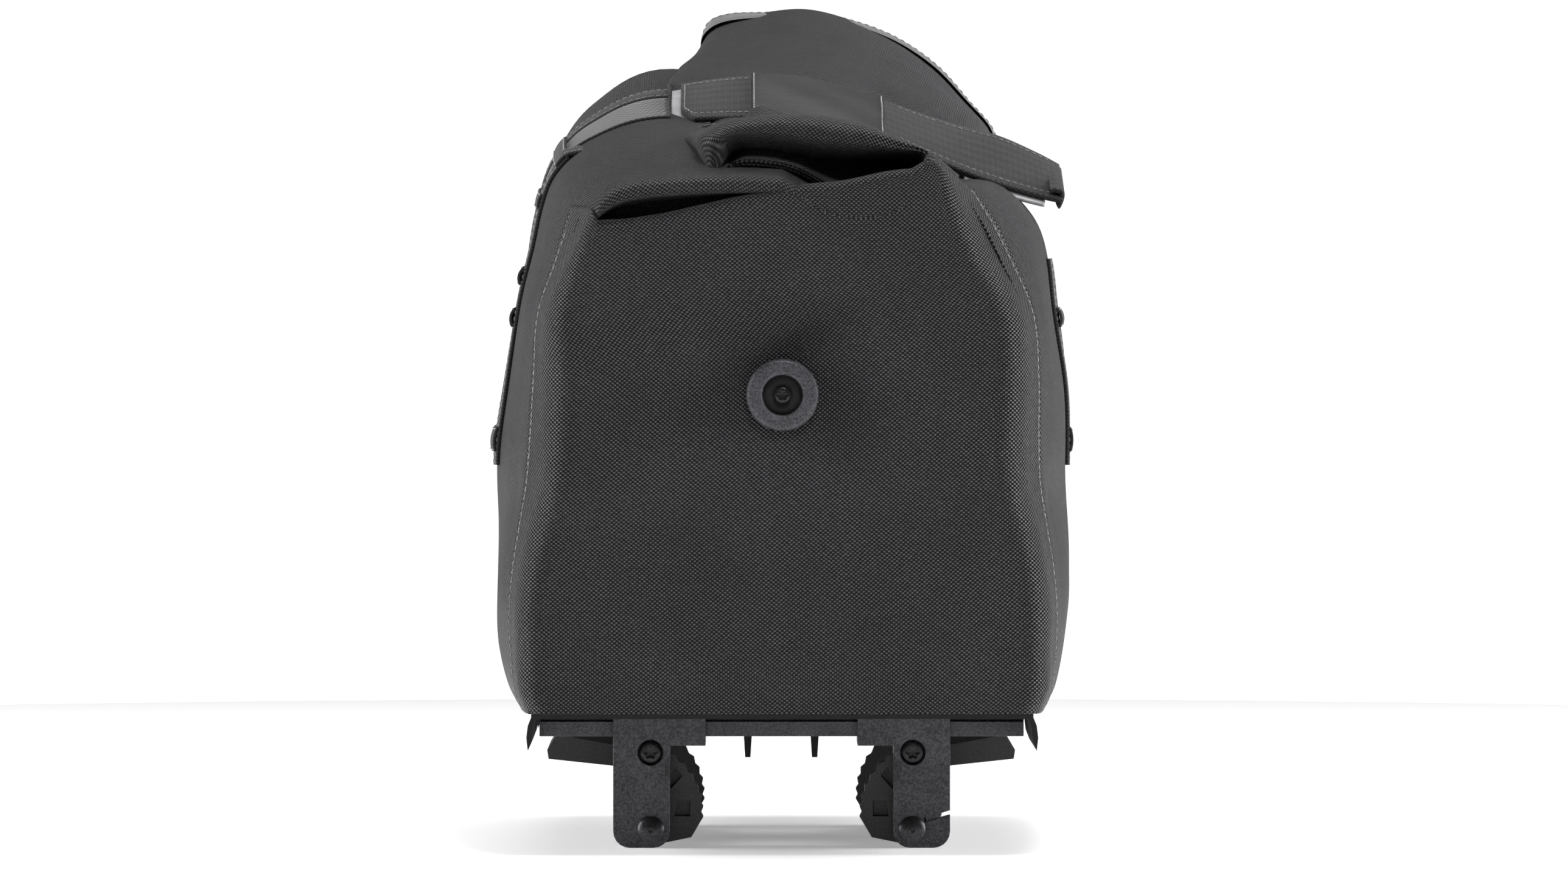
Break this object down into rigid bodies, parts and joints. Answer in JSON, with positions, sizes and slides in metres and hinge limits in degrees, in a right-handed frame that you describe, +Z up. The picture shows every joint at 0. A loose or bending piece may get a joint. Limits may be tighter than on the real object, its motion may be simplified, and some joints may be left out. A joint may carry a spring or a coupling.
{
  "type": "bicycle rack-top bag",
  "caption": "Roll-top carrier bag that stands on a rack, with a carrying strap, sliding toothed rack hooks under its base and press-down release levers.",
  "frame": {"origin": "centre of the bounding box in plan, at the level of the hooks' undersides", "axes": "+Z up, +Y along the bag from the front end to the back end, +X to the right seen from the front end"},
  "size_m": [0.248, 0.3526, 0.3547],
  "materials": {
    "coated_fabric": "coated polyester, coarse plain weave, charcoal",
    "webbing": "woven polyester webbing, dark grey, light stitching",
    "grip_cloth": "smooth satin wrap",
    "moulded_plastic": "glass-filled charcoal plastic, fine sparkle",
    "black_plastic": "black plastic",
    "hook_plate": "bead-blasted aluminium",
    "blackened_steel": "blackened screws, nuts, shafts and springs"
  },
  "bodies": {
    "bag": {"left_side_panel": "coated_fabric", "right_side_panel": "coated_fabric", "left_top_cover": "coated_fabric", "right_top_cover": "coated_fabric", "front_end_panel": "coated_fabric", "back_end_panel": "coated_fabric", "bottom_panel": "coated_fabric", "bottom_board": "black_plastic", "rolled_top": "coated_fabric", "left_ladder": "webbing", "right_ladder": "webbing", "front_stud": "moulded_plastic", "front_stud_screw": "blackened_steel", "front_stud_backing_nut": "blackened_steel", "back_stud": "moulded_plastic", "back_stud_screw": "blackened_steel", "back_stud_backing_nut": "blackened_steel", "base_plate": "moulded_plastic", "front_rail": "moulded_plastic", "back_rail": "moulded_plastic", "front_left_base_screw": "blackened_steel", "front_right_base_screw": "blackened_steel", "back_left_base_screw": "blackened_steel", "back_right_base_screw": "blackened_steel"},
    "left_carriage": {"front_left_hook": "moulded_plastic", "front_left_clamp_screw": "blackened_steel", "front_left_clamp_nut": "blackened_steel", "back_left_hook": "moulded_plastic", "back_left_clamp_screw": "blackened_steel", "back_left_clamp_nut": "blackened_steel", "left_release_shaft": "blackened_steel", "left_torsion_spring": "blackened_steel"},
    "right_carriage": {"front_right_hook": "moulded_plastic", "front_right_clamp_screw": "blackened_steel", "front_right_clamp_nut": "blackened_steel", "back_right_hook": "moulded_plastic", "back_right_clamp_screw": "blackened_steel", "back_right_clamp_nut": "blackened_steel", "right_release_shaft": "blackened_steel", "right_torsion_spring": "blackened_steel"},
    "left_release": {"left_release_lever": "moulded_plastic", "front_left_jaw": "black_plastic", "back_left_jaw": "black_plastic"},
    "right_release": {"right_release_lever": "moulded_plastic", "front_right_jaw": "black_plastic", "back_right_jaw": "black_plastic"},
    "carrying_strap": {"strap_left_webbing": "webbing", "grip_wrap": "grip_cloth", "strap_right_webbing": "webbing", "left_hook_plate": "hook_plate", "right_hook_plate": "hook_plate", "pull_tab": "webbing"}
  },
  "joints": [
    {"name": "left_carriage_slide", "type": "slide", "parent": "bag", "child": "left_carriage", "axis": [-1, 0, 0], "range_m": [-0.004, 0.028]},
    {"name": "left_lever_press", "type": "hinge", "parent": "left_carriage", "child": "left_release", "pos_m": [-0.0551, 0, 0.0076], "axis": [0, -1, 0], "range_deg": [0, 28], "stiffness_Nm_per_rad": 0.35, "springref_deg": -17.19},
    {"name": "right_carriage_slide", "type": "slide", "parent": "bag", "child": "right_carriage", "axis": [1, 0, 0], "range_m": [-0.004, 0.028]},
    {"name": "right_lever_press", "type": "hinge", "parent": "right_carriage", "child": "right_release", "pos_m": [0.0551, 0, 0.0076], "axis": [0, 1, 0], "range_deg": [0, 28], "stiffness_Nm_per_rad": 0.35, "springref_deg": -17.19},
    {"name": "strap_lift", "type": "hinge", "parent": "bag", "child": "carrying_strap", "pos_m": [0.1, -0.055, 0.27], "axis": [0, 1, 0], "range_deg": [0, 50]}
  ]
}
